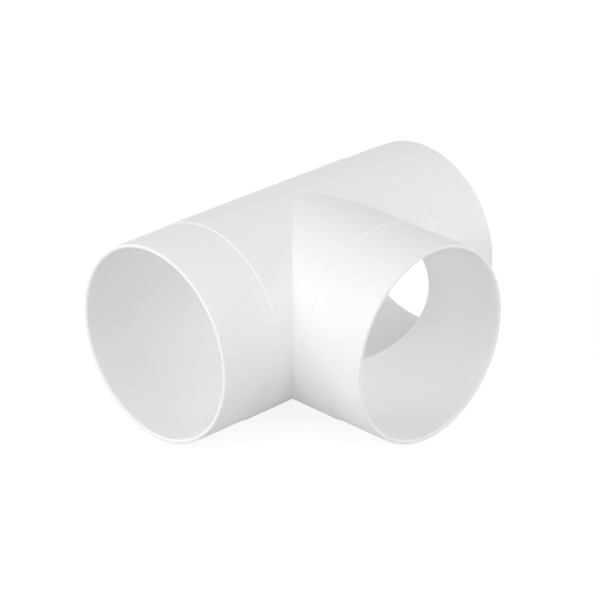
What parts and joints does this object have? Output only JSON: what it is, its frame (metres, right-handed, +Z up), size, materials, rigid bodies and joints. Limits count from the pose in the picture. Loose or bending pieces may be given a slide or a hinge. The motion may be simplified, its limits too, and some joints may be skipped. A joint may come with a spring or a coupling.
{
  "type": "round duct tee",
  "caption": "Equal round duct tee moulded in one piece: a straight run with a branch square to it, each arm ending in a stepped spigot with a slight lead-in that a duct slides over.",
  "frame": {"origin": "crossing of the run's axis and the branch's axis", "axes": "+X along the run, -Y along the branch towards its mouth, +Z up with the tee lying on its side"},
  "size_m": [0.186, 0.1433, 0.1006],
  "materials": {
    "white_plastic": "satin white moulded plastic"
  },
  "bodies": {
    "root": {"duct_tee": "white_plastic"}
  },
  "joints": []
}
